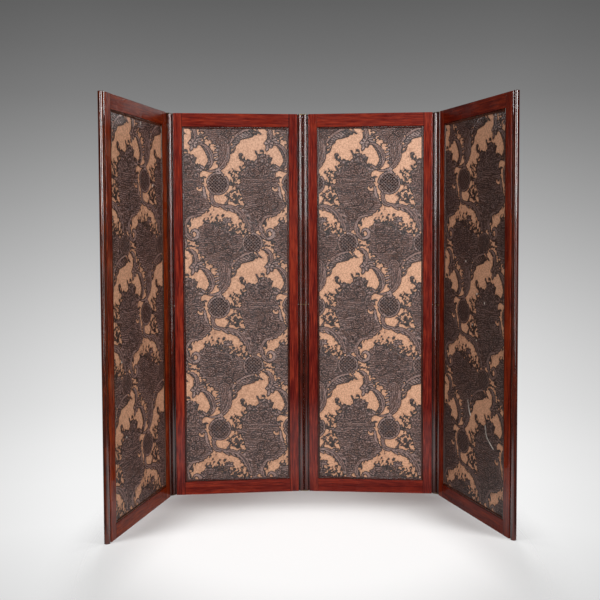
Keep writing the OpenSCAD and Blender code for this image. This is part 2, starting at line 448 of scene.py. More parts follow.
def polishedWood(name, leaf, kind, seed):
    # Figure and pores run along the piece: along a rail, and up all others
    material, tree, shader = newMaterial(name)

    def grainwise(key):
        long, short = grainSet[key]
        return (long, short, short) if kind == "rail" else (short, short, long)

    deep, body, bright, (low, high), (coat, coatRoughness, coatIor) = woodSet[kind]
    move = tuple(seed * step % 1.0 for step in grainSet["seed"])
    plain = objectPlace(tree, -headings[leaf], move)
    place = mapped(tree, plain, stretch=grainwise("figure"))
    broad = maths(tree, "MULTIPLY", noise(tree, place, *grainSet["broad"]), grainSet["broadShare"])
    streak = noise(tree, place, *grainSet["streak"])
    figure = maths(tree, "ADD", broad, maths(tree, "MULTIPLY", streak, grainSet["streakShare"]))
    colour = ramp(tree, figure, ((low, deep), (0.5, body), (high, bright)))
    # Pores: short dark dashes along the grain
    pores = noise(tree, mapped(tree, plain, stretch=grainwise("pores")), *grainSet["pore"])
    pores = spread(tree, pores, *grainSet["poreRange"])
    dark = maths(tree, "MULTIPLY", pores, grainSet["poreShare"])
    colour = blendColour(tree, dark, colour, woodSet["pore"])
    # Handling has left the polish uneven
    worn = noise(tree, plain, *grainSet["worn"])
    rubbed = spread(tree, worn, *grainSet["wornRange"], 0.0, grainSet["wornShare"])
    colour = blendColour(tree, rubbed, colour, deep)
    # Painted light and shade: the leaf's tint for how it is lit
    colour = blendColour(tree, 1.0, colour, woodSet["leafTint"][leaf] + (1.0,), "MULTIPLY")
    # Painted shade in the quirk between a stile and its bead, read from the mesh
    seamDarkAndShadeMask = stored(tree, "seamDarkAndShade")
    x, _, z = axes(tree, plain)
    if kind == "rail":
        # The dark line of the joint at each shoulder of a rail
        away = maths(tree, "SUBTRACT", x, railMiddle(leaf) + move[0])
        away = maths(tree, "ABSOLUTE", away)
        shoulder = leafSet["pitch"] / 2 - leafSet["stileIn"]
        seamDarkAndShadeMask = spread(tree, away, *(shoulder - edge * woodSet["seam"] for edge in woodSet["seamEdges"]))
    # Dark joint lines on a rail; painted shade in the quirks on the other pieces
    colour = blendColour(tree, seamDarkAndShadeMask, colour, woodSet["seamDarkAndShade"])
    tree.links.new(colour, shader.inputs["Base Color"])
    # The top edges are bare of polish
    start, end = (leafSet["height"] - depth + move[2] for depth in woodSet["bareTop"])
    dull = spread(tree, z, start, end)
    roughness = spread(tree, worn, *woodSet["roughness"])
    bare = maths(tree, "MULTIPLY", dull, woodSet["bareRoughness"])
    tree.links.new(maths(tree, "MAXIMUM", roughness, bare), shader.inputs["Roughness"])
    tree.links.new(spread(tree, dull, 0.0, 1.0, coat, 0.0), shader.inputs["Coat Weight"])
    shader.inputs["Coat Roughness"].default_value = coatRoughness
    shader.inputs["Coat IOR"].default_value = coatIor
    shader.inputs["Specular IOR Level"].default_value = woodSet["specular"]
    if kind != "bead":
        bump(tree, shader, maths(tree, "SUBTRACT", streak, pores), woodSet["grain"])
    return material


metalSet = {
    # Fresh and aged tones, and roughness
    "brass": (linear(150, 124, 76), linear(74, 60, 38), 0.34),
    "steel": (linear(150, 146, 140), linear(92, 84, 76), 0.42),
    "patches": (60.0, 4.0, 0.6), "patchRange": (0.35, 0.65),
    "scratches": (420.0, 2.0, 0.5), "scratchRange": (0.3, 0.7), "scratchRough": (-0.08, 0.12),
    "scratchDepth": 0.00004,
}


def agedMetal(name, fresh, aged, roughness):
    material, tree, shader = newMaterial(name)
    plain = objectPlace(tree)
    patches = noise(tree, plain, *metalSet["patches"])
    scratches = noise(tree, plain, *metalSet["scratches"])
    colour = blendColour(tree, spread(tree, patches, *metalSet["patchRange"]), fresh, aged)
    tree.links.new(colour, shader.inputs["Base Color"])
    shader.inputs["Metallic"].default_value = 1.0
    limits = (roughness + more for more in metalSet["scratchRough"])
    scratched = spread(tree, scratches, *metalSet["scratchRange"], *limits)
    tree.links.new(scratched, shader.inputs["Roughness"])
    bump(tree, shader, scratches, metalSet["scratchDepth"])
    return material


softwoodSet = {
    "tones": ((0.35, linear(176, 136, 88)), (0.6, linear(208, 172, 122))),
    "rings": (3.0, 3.0, 0.6, 0.4), "stretch": (12, 12, 1), "roughness": 0.7,
}


def bareSoftwood(name):
    material, tree, shader = newMaterial(name)
    place = mapped(tree, objectPlace(tree), stretch=softwoodSet["stretch"])
    rings = noise(tree, place, *softwoodSet["rings"])
    tree.links.new(ramp(tree, rings, softwoodSet["tones"]), shader.inputs["Base Color"])
    shader.inputs["Roughness"].default_value = softwoodSet["roughness"]
    return material


coverSet = {
    "tan": linear(224, 172, 138), "tanShade": linear(160, 110, 82), "scuff": linear(240, 232, 220),
    "slate": linear(72, 52, 49), "umber": linear(84, 56, 45),
    # Painted highlight and shade: the ridge colour lightens what is raised and the groove colour darkens what
    # is low
    "ridgeHighlight": linear(158, 128, 120), "groove": linear(28, 18, 15),
    # How light the ground and the motifs of each leaf are: painted light and shade, lighter and darker copies
    # of one covering for how each leaf is lit
    "leafTone": {1: (1.12, 1.04), 2: (1.0, 1.0), 3: (1.1, 1.0), 4: (0.98, 0.54)},
    "hatchPitch": 0.0085, "latticePitch": 0.0148,    # in metres
    "contourPitch": 8.5,                             # in mm, as the pattern's own fields are
    "hatchWave": (34.0, 17.0), "contourWave": 6.0,
    # Where in a noise or a height each effect starts and ends, and its values there
    "broken": (0.34, 0.64, 0.3, 1.6), "umberRange": (0.42, 0.62), "ridgeHighlightRange": (0.62, 1.35),
    "grooveRange": (0.42, 0.0), "haloRange": (5.0, 14.0, 0.45, 1.0), "wovenRange": (0.40, 0.62, 0.0, 0.6),
    "motifRange": (0.9, -0.5), "haloWave": 14.0, "outlineWave": 3.0,
    "rimHighlightRanges": ((-10.0, -6.0), (-3.0, -6.0)), "rimHighlightShare": 0.4, "footShadeRange": (-4.5, -2.0), "footShadeShare": 0.22,
    "lineShare": 0.5, "latticeMiddle": 0.72, "latticeShare": 1.7, "speckleAndGlintShare": 2.2,
    "roughness": (0.0, 1.2, 0.5, 0.3), "specular": 0.6, "fineDepth": 0.0016, "grainShare": 0.15,
    "grain": (420.0, 2.0, 0.55), "speckle": (150.0, 3.0, 0.6),
    "mottle": (40.0, 4.0, 0.62), "cloud": (9.0, 3.0, 0.5),
}


def embossedCovering(name, turn, litShade):
    material, tree, shader = newMaterial(name)
    plain = objectPlace(tree, -turn)

    def times(first, second):
        return maths(tree, "MULTIPLY", first, second)

    def plus(first, second):
        return maths(tree, "ADD", first, second)

    def less(first, second):
        return maths(tree, "SUBTRACT", first, second)

    edge, relief = stored(tree, "edge"), stored(tree, "relief")
    x, _, z = axes(tree, plain)
    grain, speckle, mottle, cloud = (noise(tree, plain, *coverSet[key])
                                     for key in ("grain", "speckle", "mottle", "cloud"))

    # Horizontal hatching, waved and broken
    broadWave, smallWave = coverSet["hatchWave"]
    wavy = plus(times(z, 2 * math.pi / coverSet["hatchPitch"]), times(cloud, broadWave))
    wavy = plus(wavy, times(mottle, smallWave))
    lines = times(maths(tree, "SINE", wavy), stored(tree, "hatch"))
    # Lines that follow a motif's own outline
    own = times(stored(tree, "own"), 2 * math.pi / coverSet["contourPitch"])
    own = plus(own, times(mottle, coverSet["contourWave"]))
    rings = times(maths(tree, "COSINE", own), stored(tree, "contour"))
    # Lattice: raised crossing lines over sunk squares
    turnRate = 2 * math.pi / coverSet["latticePitch"]
    rising = maths(tree, "ABSOLUTE", maths(tree, "COSINE", times(plus(x, z), turnRate / 2)))
    falling = maths(tree, "ABSOLUTE", maths(tree, "COSINE", times(less(x, z), turnRate / 2)))
    mesh = less(maths(tree, "MAXIMUM", rising, falling), coverSet["latticeMiddle"])
    mesh = times(mesh, stored(tree, "lattice"))
    fine = plus(times(lines, coverSet["lineShare"]), times(rings, coverSet["lineShare"]))
    fine = times(fine, spread(tree, speckle, *coverSet["broken"]))
    fine = plus(fine, times(mesh, coverSet["latticeShare"]))
    # Random flecks of height: they are bumps, and through the ridge and groove colours also painted glints
    # and specks of shade
    fine = plus(fine, times(less(speckle, 0.5), coverSet["speckleAndGlintShare"]))

    # Painted highlight along a motif's rim and painted shade at its foot
    inner, outer = (spread(tree, edge, *limits) for limits in coverSet["rimHighlightRanges"])
    rim = times(times(inner, outer), coverSet["rimHighlightShare"])
    footShade = times(spread(tree, edge, *coverSet["footShadeRange"]), coverSet["footShadeShare"])
    level = plus(plus(relief, fine), less(rim, footShade))
    # Umber tints the slate at random; the ridge colour is a painted highlight on high places and the groove
    # colour painted shade in low ones
    darkTone = coverSet["slate"]
    for height, tint in ((mottle, "umber"), (level, "ridgeHighlight"), (level, "groove")):
        share = spread(tree, height, *coverSet[tint + "Range"])
        darkTone = blendColour(tree, share, darkTone, coverSet[tint])
    # Painted shade: the motifs take the leaf's level of light
    darkTone = blendColour(tree, 1.0, darkTone, (litShade[1], litShade[1], litShade[1], 1.0), "MULTIPLY")
    halo = spread(tree, plus(edge, times(mottle, coverSet["haloWave"])), *coverSet["haloRange"])
    tanTone = blendColour(tree, halo, coverSet["tanShade"], coverSet["tan"])
    woven = spread(tree, speckle, *coverSet["wovenRange"])
    tanTone = blendColour(tree, woven, tanTone, coverSet["tanShade"])
    # Painted light: the ground takes the leaf's level of light
    tanTone = blendColour(tree, 1.0, tanTone, (litShade[0], litShade[0], litShade[0], 1.0), "MULTIPLY")
    outline = plus(edge, times(less(speckle, 0.5), coverSet["outlineWave"]))
    inMotif = spread(tree, outline, *coverSet["motifRange"])
    colour = blendColour(tree, inMotif, tanTone, darkTone)
    colour = blendColour(tree, stored(tree, "scuff"), colour, coverSet["scuff"])
    tree.links.new(colour, shader.inputs["Base Color"])
    tree.links.new(spread(tree, level, *coverSet["roughness"]), shader.inputs["Roughness"])
    shader.inputs["Specular IOR Level"].default_value = coverSet["specular"]
    heights = plus(times(fine, inMotif), times(grain, coverSet["grainShare"]))
    bump(tree, shader, heights, coverSet["fineDepth"])
    return material


finishes = {
    "brass": agedMetal("aged brass", *metalSet["brass"]),
    "steel": agedMetal("dull steel", *metalSet["steel"]),
    "softwood": bareSoftwood("bare softwood"),
}
for leaf in places:
    litShade = coverSet["leafTone"][leaf]
    finishes["covering", leaf] = embossedCovering("embossed covering %d" % leaf, headings[leaf], litShade)
print("finishes made")


# Rigid pieces: each CAD node merged, its outer arrises eased, and polished

easeSet = {
    "wood": 0.0005, "metal": 0.00025, "segments": 2, "merge": 1e-6,
    "flat": math.radians(1), "sharp": math.radians(35), "smooth": math.radians(40),
    # How near counts as on a face, at an end or on a bead's round
    "onFace": 0.0001, "nearEnd": 0.0032, "nearBead": 0.0007,
}

quirkShadeSet = {"tongue": 0.0092, "tongueFade": 0.0035, "inward": 0.0075, "inwardFade": 0.003}


def quirkShade(point, node):
    # Painted shade: a stile's edges within its thickness and a bead's side towards its stile are darkened, in
    # the quirk between them where shade falls
    if not node.endswith(("stile", "bead")):
        return 0.0
    local = places[int(node.split("_")[1])].inverted() @ point
    if node.endswith("stile"):
        return min(max((quirkShadeSet["tongue"] - abs(local.y)) / quirkShadeSet["tongueFade"], 0), 1)
    inward = local.x if "left" in node else leafSet["pitch"] - local.x
    return min(max((inward - quirkShadeSet["inward"]) / quirkShadeSet["inwardFade"], 0), 1)


def swellBead(mesh, node):
    # Layers of polish fill most of the clearance between two beads
    leaf, side = int(node.split("_")[1]), node.split("_")[2]
    centre = places[leaf] @ Vector((0 if side == "left" else leafSet["pitch"], 0, 0))
    for vertex in mesh.vertices:
        away = Vector((vertex.co.x - centre.x, vertex.co.y - centre.y, 0))
        if abs(away.length - leafSet["thick"] / 2) < easeSet["nearBead"]:
            vertex.co += away.normalized() * woodSet["beadSwell"]


def easedCopy(node, width, material, isOuter):
    body = frame["nodes"][node]["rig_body"]
    shape = bmesh.new()
    shape.from_mesh(frame["nodes"][node].data)
    bmesh.ops.remove_doubles(shape, verts=shape.verts, dist=easeSet["merge"])
    bmesh.ops.dissolve_limit(shape, angle_limit=easeSet["flat"], verts=shape.verts, edges=shape.edges)
    arrises = [edge for edge in shape.edges
               if len(edge.link_faces) == 2 and edge.calc_face_angle(0) > easeSet["sharp"]
               and edge.calc_length() > 4 * width and isOuter(edge)]
    bmesh.ops.bevel(shape, geom=arrises, offset=width, offset_type="OFFSET", affect="EDGES",
                    segments=easeSet["segments"], profile=0.5, material=-1, clamp_overlap=True)
    mesh = meshOf(shape, node + "_finished")
    if node.endswith("bead"):
        swellBead(mesh, node)
    # Painted shade in the quirks, kept on each point
    seamDarkAndShade = mesh.attributes.new("seamDarkAndShade", "FLOAT", "POINT")
    seamDarkAndShade.data.foreach_set("value", [quirkShade(vertex.co, node) for vertex in mesh.vertices])
    mesh.polygons.foreach_set("use_smooth", [True] * len(mesh.polygons))
    mesh.set_sharp_from_angle(angle=easeSet["smooth"])
    mesh.materials.append(material)
    piece = addObject(node + "_finished", mesh)
    flats = piece.modifiers.new("flats", "WEIGHTED_NORMAL")
    flats.keep_sharp = True
    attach(piece, body)
    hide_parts(node)
    return piece


def outerTest(leaf):
    # True for an edge on the faces or the ends of a leaf, and not in a mortise, groove or bore
    back = places[leaf].inverted()
    face = leafSet["thick"] / 2 - easeSet["onFace"]

    def test(edge):
        ends = [back @ vertex.co for vertex in edge.verts]
        onFace = all(abs(point.y) > face for point in ends)
        onEnd = all(min(point.z, leafSet["height"] - point.z) < easeSet["nearEnd"] for point in ends)
        return onFace or onEnd
    return test


woodPieces = ("left_stile", "right_stile", "top_rail", "bottom_rail",
              "left_bead", "right_bead", "front_slips", "back_slips")
woodCount = 0
for leaf in places:
    outer = outerTest(leaf)
    for part in woodPieces:
        woodCount += 1
        node, kind = "leaf_%d_%s" % (leaf, part), part.split("_")[1]
        finish = polishedWood("polish %s" % node, leaf, kind, woodCount)
        piece = easedCopy(node, easeSet["wood"], finish, (lambda edge: False) if kind == "slips" else outer)
    strainer = frame["nodes"]["leaf_%d_strainer" % leaf]
    strainer.data.materials[0] = finishes["softwood"]
for name, node in frame["nodes"].items():
    if name.startswith("hinge"):
        isPlate = name.endswith("plate")
        finish = finishes["brass" if isPlate else "steel"]
        piece = easedCopy(name, easeSet["metal"], finish, lambda edge: False)
print("wood and metal finished:", woodCount, "wood pieces")


# One repeat of the embossed pattern, drawn as raised strokes on a grid that wraps round, in mm

repeatSet = {
    "across": 331.0, "up": 543.0, "step": 1.0, "seed": 5,
    # Width of the groove pressed round a motif, and the share of height left in it
    "groove": 2.4, "press": 0.25,
    # Distances are worked out within the margin round a stroke, and are set to far beyond it
    "far": 30.0, "margin": 18,
    # How uneven the outlines are
    "ragged": 1.5, "raggedPitch": 11.0,
    # Slope and height of a flat-topped motif; the radius from which a dome is full, and the least height
    "flatSlope": 3.0, "flatHeight": 0.8, "fullDome": 5, "leastDome": 0.45,
}
gridStep = repeatSet["step"]
gridRows, gridColumns = int(repeatSet["up"] / gridStep), int(repeatSet["across"] / gridStep)
pattern = {"edge": np.full((gridRows, gridColumns), repeatSet["far"])}
for name in ("relief", "hatch", "lattice", "contour", "own"):
    pattern[name] = np.zeros((gridRows, gridColumns))
random = np.random.default_rng(repeatSet["seed"])


def ripple(pitch):
    # Smooth noise that wraps round with the pattern
    ratesUp = np.fft.fftfreq(gridRows, gridStep)
    ratesAcross = np.fft.fftfreq(gridColumns, gridStep)
    rates = np.hypot(ratesUp[:, None], ratesAcross[None, :])
    band = np.exp(-((rates * pitch - 1) / 0.5) ** 2)
    field = np.fft.ifft2(np.fft.fft2(random.standard_normal((gridRows, gridColumns))) * band).real
    return field / field.std()


ragged = ripple(repeatSet["raggedPitch"]) * repeatSet["ragged"]


def strokeField(strokes, flat):
    # Distance to the strokes' outline, negative inside, and their domed or flat-topped height
    edge = np.full((gridRows, gridColumns), repeatSet["far"])
    relief = np.zeros((gridRows, gridColumns))
    for x0, y0, r0, x1, y1, r1 in strokes:
        reach = max(r0, r1) + repeatSet["margin"]
        columns, rows = (np.arange(math.floor((min(ends) - reach) / gridStep),
                                   math.ceil((max(ends) + reach) / gridStep) + 1)
                         for ends in ((x0, x1), (y0, y1)))
        x, y = columns[None, :] * gridStep - x0, rows[:, None] * gridStep - y0
        runX, runY = x1 - x0, y1 - y0
        share = np.clip((x * runX + y * runY) / max(runX * runX + runY * runY, 1e-9), 0, 1)
        away = np.hypot(x - share * runX, y - share * runY)
        radius = np.maximum(r0 + (r1 - r0) * share, 0.1)
        if flat:
            height = np.clip((radius - away) / repeatSet["flatSlope"], 0, 1) * repeatSet["flatHeight"]
        else:
            full = np.clip(radius / repeatSet["fullDome"], repeatSet["leastDome"], 1)
            height = np.sqrt(np.clip(1 - (away / radius) ** 2, 0, 1)) * full
        cells = np.ix_(rows % gridRows, columns % gridColumns)
        edge[cells] = np.minimum(edge[cells], away - radius)
        relief[cells] = np.maximum(relief[cells], height)
    return edge, relief


def lay(strokes, flat=False, hatch=0.0, height=1.0, contour=0.0, rough=0.6):
    # Lays a motif over what is there, with a groove pressed round it
    edge, relief = strokeField(strokes, flat)
    edge = edge + rough * ragged
    inside = edge < 0
    margin = np.clip(edge / repeatSet["groove"], 0, 1)
    pressed = repeatSet["press"] + (1 - repeatSet["press"]) * margin
    under = {"relief": pressed, "hatch": margin, "lattice": margin, "contour": margin, "own": 1.0}
    over = {"relief": relief * height, "hatch": hatch, "lattice": 0.0, "contour": contour, "own": -edge}
    for name, value in over.items():
        pattern[name] = np.where(inside, value, pattern[name] * under[name])
    pattern["edge"] = np.minimum(pattern["edge"], edge)


def disc(x, y, radius):
    return (x, y, radius, x, y, radius)


def smoothLine(points, steps=8):
    # Points of x, y and radius, with a smooth curve through them
    ends = np.array(points, float)
    ends = np.vstack([2 * ends[0] - ends[1], ends, 2 * ends[-1] - ends[-2]])
    line = []
    for k in range(1, len(ends) - 2):
        a, b, c, d = ends[k - 1:k + 3]
        for t in np.arange(steps) / steps:
            line.append(0.5 * (2 * b + (c - a) * t + (2 * a - 5 * b + 4 * c - d) * t ** 2
                               + (3 * b - a - 3 * c + d) * t ** 3))
    line.append(ends[-2])
    return np.array(line)


def ribbon(points):
    line = smoothLine(points)
    return [tuple(a) + tuple(b) for a, b in zip(line[:-1], line[1:])]


def leaflet(x, y, heading, length, width, bend):
    # A pointed leaf of four strokes that bends as it goes
    strokes = []
    swell = (0.7, 1.0, 0.95, 0.7, 0.18)
    for k in range(4):
        nextX, nextY = x + length / 4 * math.cos(heading), y + length / 4 * math.sin(heading)
        strokes.append((x, y, width * swell[k], nextX, nextY, width * swell[k + 1]))
        x, y = nextX, nextY
        heading += bend / 4
    return strokes


def leafEdge(points, side, count, length, width, lean, bend, start, end):
    # Leaflets along one side of a line, each laid over the last
    line = smoothLine(points, 16)
    steps = np.hypot(line[1:, 0] - line[:-1, 0], line[1:, 1] - line[:-1, 1])
    along = np.concatenate([[0], np.cumsum(steps)])
    for k in range(count):
        share = start + (end - start) * k / max(count - 1, 1)
        at = share * along[-1]
        x, y, radius = (np.interp(at, along, line[:, column]) for column in range(3))
        ahead, behind = min(at + 2, along[-1]), max(at - 2, 0)
        runX, runY = (np.interp(ahead, along, line[:, column]) - np.interp(behind, along, line[:, column])
                      for column in (0, 1))
        size = 0.75 + 0.25 * math.sin(math.pi * share) + 0.1 * math.sin(7.3 * k)
        heading = math.atan2(runY, runX) + side * lean
        lay(leaflet(x, y, heading, (length + radius) * size, width * size, -side * bend))


def serratedScroll(points, side, count, length, width, lean=1.0, bend=0.8, start=0.15, end=0.92):
    leafEdge(points, side, count, length, width, lean, bend, start, end)
    lay(ribbon(points), contour=1.0, rough=0.4)


def petals(x, y, reach, count, size, turn):
    strokes = []
    for k in range(count):
        angle = turn + 2 * math.pi * k / count
        runX, runY = math.cos(angle), math.sin(angle)
        strokes.append((x + reach * runX, y + reach * runY, size,
                        x + 0.4 * reach * runX, y + 0.4 * reach * runY, size * 0.6))
    lay(strokes)


# How far the lattice and the middle of the rim lie within the outline, and how wide they fade
roundelSet = {"lattice": 7, "latticeFade": 1.5, "rim": 4, "rimFade": 3.6, "sunk": 0.65}


def roundel(x, y, radius):
    # A rimmed disc with a lattice in it
    lay([disc(x, y, radius)], flat=True, rough=0.2)
    rows, columns = np.mgrid[0:gridRows, 0:gridColumns] * gridStep
    awayX = (columns - x + repeatSet["across"] / 2) % repeatSet["across"] - repeatSet["across"] / 2
    awayY = (rows - y + repeatSet["up"] / 2) % repeatSet["up"] - repeatSet["up"] / 2
    away = np.hypot(awayX, awayY)
    inner = np.clip((radius - roundelSet["lattice"] - away) / roundelSet["latticeFade"], 0, 1)
    pattern["lattice"] = np.maximum(pattern["lattice"], inner)
    rim = np.clip(1 - np.abs(away - (radius - roundelSet["rim"])) / roundelSet["rimFade"], 0, 1)
    rimmed = np.maximum(pattern["relief"] * (1 - roundelSet["sunk"] * inner), rim)
    pattern["relief"] = np.where(away < radius, rimmed, pattern["relief"])


def carve(strokes):
    # Opens the ground up again inside the strokes
    edge = -strokeField(strokes, False)[0]
    pattern["edge"] = np.maximum(pattern["edge"], edge)
    bare = pattern["edge"] > 0
    slope = np.clip(-pattern["edge"] / repeatSet["groove"], 0.2, 1)
    for name in ("relief", "hatch", "lattice", "contour"):
        pattern[name] = np.where(bare, 0, pattern[name] * slope)


def fringe(groups, count, length, width, inward=False):
    # Small leaves that stand out from the edge of what is drawn so far, or notches cut into it
    for group in range(groups):
        edge = pattern["edge"]
        rows, columns = np.nonzero((edge > -1) & (edge < 2))
        strokes = []
        for pick in random.integers(0, len(rows), count):
            row, column = rows[pick], columns[pick]
            runX = edge[row, (column + 2) % gridColumns] - edge[row, column - 2]
            runY = edge[(row + 2) % gridRows, column] - edge[row - 2, column]
            heading = math.atan2(runY, runX) + random.uniform(-0.7, 0.7) + math.pi * inward
            strokes += leaflet(column * gridStep, row * gridStep, heading,
                               length * random.uniform(0.6, 1.3), width * random.uniform(0.8, 1.3),
                               random.uniform(-1.4, 1.4))
        if inward:
            carve(strokes)
        else:
            lay(strokes, rough=0.2)


def thicket(count, radii, contour, hatch):
    # Rounded clumps within what is drawn so far
    for k in range(count):
        rows, columns = np.nonzero(pattern["edge"] < -9)
        pick = random.integers(0, len(rows))
        x, y = columns[pick] * gridStep, rows[pick] * gridStep
        radius = random.uniform(*radii)
        nextX, nextY = x + random.uniform(-1, 1) * radius, y + random.uniform(-0.3, 0.3) * radius
        lay([(x, y, radius, nextX, nextY, radius * 0.8)],
            flat=True, contour=contour, hatch=hatch, rough=1.2, height=random.uniform(0.75, 1.0))


def landscape():
    # A bank with flame-like tips at its left, and a bush behind the flowers
    crowns = ((-74, 262, 16), (-52, 288, 26), (-10, 300, 34), (40, 300, 34), (84, 276, 24))
    strokes = [(20, 168, 22) + crown for crown in crowns]
    strokes += [(-52, 288, 26, 80, 300, 30), (-66, 300, 22, -45, 340, 26), (-45, 330, 28, 40, 312, 26),
                (60, 200, 16, 120, 236, 18), (110, 240, 16, 190, 262, 10)]
    for x, y, length in ((-84, 296, 24), (-86, 276, 28), (-78, 255, 34), (-64, 234, 34), (-46, 214, 36),
                         (-30, 196, 34), (-10, 180, 32)):
        strokes += leaflet(x + 14, y + 5, math.radians(196), length + 14, 8, 0.25)
    lay(strokes, flat=True, hatch=1, rough=1.0)
    for place in ((-44, 376, 9), (-40, 394, 6), (-54, 356, 17), (-72, 342, 15), (-86, 336, 10),
                  (-28, 350, 20), (-4, 332, 24), (20, 322, 22), (-84, 320, 14)):
        lay([disc(*place)], flat=True, hatch=0.3, contour=0.7, rough=1.0)


def island():
    # A terraced island under a spreading tree
    strokes = [(130, -40, 26, 236, -44, 30), (140, -64, 34, 230, -60, 34), (262, -76, 28, 268, -100, 32),
               (250, -122, 30, 196, -114, 40), (128, -116, 24, 170, -118, 36), (112, -46, 18, 160, -70, 30),
               (196, -112, 38, 262, -96, 30), (150, -142, 22, 176, -150, 14), (150, -150, 16, 152, -206, 20),
               (196, -150, 12, 176, -196, 12)]
    for x, y, length in ((104, -28, 30), (98, -16, 34), (112, -44, 24), (100, -58, 22)):
        strokes += leaflet(x, y, math.pi, length, 7, 0.2)
    lay(strokes, flat=True, hatch=1, rough=1.0)
    terraces = ((112, 30, 16, 246, 28, 17), (98, 10, 14, 256, 8, 16), (84, -10, 12, 254, -12, 18),
                (64, -6, 5, 120, -12, 14))
    for terrace in terraces:
        lay([terrace], flat=True, hatch=1, rough=0.5)
    clumps = (
        (124, 95, 15), (116, 84, 9), (138, 84, 19), (156, 78, 17), (174, 92, 17), (184, 112, 15),
        (200, 118, 16), (220, 117, 11), (233, 110, 7), (200, 92, 24), (220, 76, 18), (238, 64, 13),
        (138, 60, 20), (160, 56, 26), (186, 62, 28), (212, 52, 22), (248, 46, 12), (120, 52, 14),
        (104, 44, 11), (240, 34, 16),
    )
    for x, y, radius in clumps:
        lay([disc(x, y, radius)], flat=True, hatch=0.2, contour=0.9, height=0.9, rough=1.0)
        lay([disc(x - 0.25 * radius, y + 0.3 * radius, radius * 0.45)], height=0.9, rough=0.8)


def scrolls():
    # The plume, the trunk and the C scrolls with serrated inner sides
    plume = [(58, 132, 4), (52, 158, 6), (66, 194, 7), (98, 222, 7), (134, 237, 6), (172, 242, 3)]
    serratedScroll(plume, -1, 14, 48, 6, lean=1.2, bend=0.9, start=0.0, end=0.98)
    lay([(12, 50, 9, 14, 92, 14), (14, 92, 14, 24, 150, 22), (24, 150, 22, 20, 180, 28)],
        flat=True, hatch=0.2, contour=0.9)
    leafEdge([(8, 168, 6), (2, 130, 6), (8, 92, 5)], -1, 5, 24, 7, 1.1, -0.4, 0.05, 0.95)
    branch = [(46, 172, 5), (46, 140, 9), (41, 108, 12), (26, 80, 11), (0, 61, 8), (-30, 54, 6), (-64, 62, 3)]
    lay(ribbon(branch), contour=1.0, rough=0.4)
    lower = [(-96, 172, 4), (-64, 170, 7), (-37, 146, 10), (-24, 110, 10), (-30, 78, 6), (-50, 60, 3)]
    serratedScroll(lower, -1, 11, 30, 5.5)
    upper = [(-146, 252, 2), (-120, 252, 6), (-102, 234, 9), (-96, 206, 9), (-104, 182, 5)]
    serratedScroll(upper, -1, 8, 28, 5.5, end=0.95)
    petals(-106, 174, 14, 5, 9, 0.4)
    for x, y, turn, length in ((-92, 190, 0.35, 34), (-88, 202, 0.8, 26), (-84, 184, -0.1, 30),
                               (-60, 66, 3.9, 28), (-60, 66, 2.6, 24), (-70, 60, 3.2, 22),
                               (-110, 160, -1.9, 20)):
        lay(leaflet(x, y, turn, length, 7.5, -0.5))
    under = [(-24, -40, 11), (-30, -62, 12), (-18, -88, 11), (14, -98, 9), (48, -100, 9), (80, -112, 10),
             (106, -136, 12), (124, -168, 12), (136, -204, 9)]
    leafEdge(under, -1, 7, 26, 7.5, 0.85, 0.7, 0.35, 0.97)
    leafEdge(under, 1, 6, 34, 7.5, 0.85, 0.7, 0.55, 0.98)
    lay(ribbon(under), contour=1.0, rough=0.4)
    curl = [(-96, 402, 6), (-122, 396, 7), (-140, 374, 8), (-145, 348, 9), (-136, 316, 10), (-112, 296, 9)]
    serratedScroll(curl, 1, 4, 18, 6, lean=0.9, bend=0.6, start=0.55, end=1.0)
    lay(ribbon([(-112, 300, 7), (-92, 308, 9), (-88, 328, 9), (-104, 340, 8),
                (-118, 330, 5), (-112, 320, 4)]))


def flowers():
    # Place, size and number of leaflets of each flower, then place, heading and length of each stalk
    heads = (
        (36, 378, 22, 9), (20, 402, 8, 5), (-8, 390, 7, 4), (-2, 404, 6, 4), (68, 336, 14, 6),
        (40, 348, 15, 6), (-10, 366, 8, 4), (58, 362, 8, 4), (14, 360, 8, 5), (44, -50, 13, 6),
        (74, -56, 12, 5), (38, -86, 9, 4), (82, -84, 11, 5), (58, -36, 8, 4), (96, -98, 8, 4),
        (58, -72, 9, 4), (52, 49, 9, 4), (66, 56, 9, 5), (81, 50, 9, 4), (96, 48, 9, 4), (64, 32, 9, 5),
        (72, 14, 8, 4), (112, 330, 11, 5), (90, 344, 10, 5), (100, 320, 8, 4), (122, 352, 9, 4),
        (98, 368, 8, 4),
    )
    stalks = (
        (36, 372, -1.9, 56), (66, 330, -2.0, 40), (52, 352, 0.4, 24), (40, 330, -0.6, 34), (8, 384, -1.4, 50),
        (50, -60, -1.0, 34), (66, -50, 0.5, 30), (84, -70, 0.6, 28), (24, 352, 2.2, 22), (76, 348, 1.2, 18),
        (104, 336, 1.8, 30), (112, 320, 0.2, 24), (60, 44, -1.2, 40), (-4, 392, -1.5, 44), (30, -92, 0.9, 40),
    )
    for x, y, size, count in heads:
        turn = random.uniform(0, 2)
        for k in range(count):
            lay(leaflet(x, y, turn + 2 * math.pi * k / count, size * random.uniform(0.8, 1.25),
                        size * random.uniform(0.3, 0.42), random.uniform(-0.8, 0.8)))
    for x, y, turn, length in stalks:
        lay(leaflet(x, y, turn, length, 4.5, 0.6))


landscape()
island()
thicket(24, (12, 26), 0.2, 1.0)
thicket(26, (9, 18), 1.0, 0.1)
fringe(7, 24, 15, 4.4)
fringe(4, 30, 11, 4.6, True)
roundel(150, 281, 47)
scrolls()
roundel(0, 0, 51)
petals(4, 54, 9, 5, 8, 0.3)
lay([(-62, -18, 7, -58, -50, 9), (-58, -50, 9, -50, -66, 4)])
flowers()
fringe(3, 26, 7, 3.4, True)
print("pattern drawn, raised share", round(float((pattern["edge"] < 0).mean()), 3))


# Embossed coverings

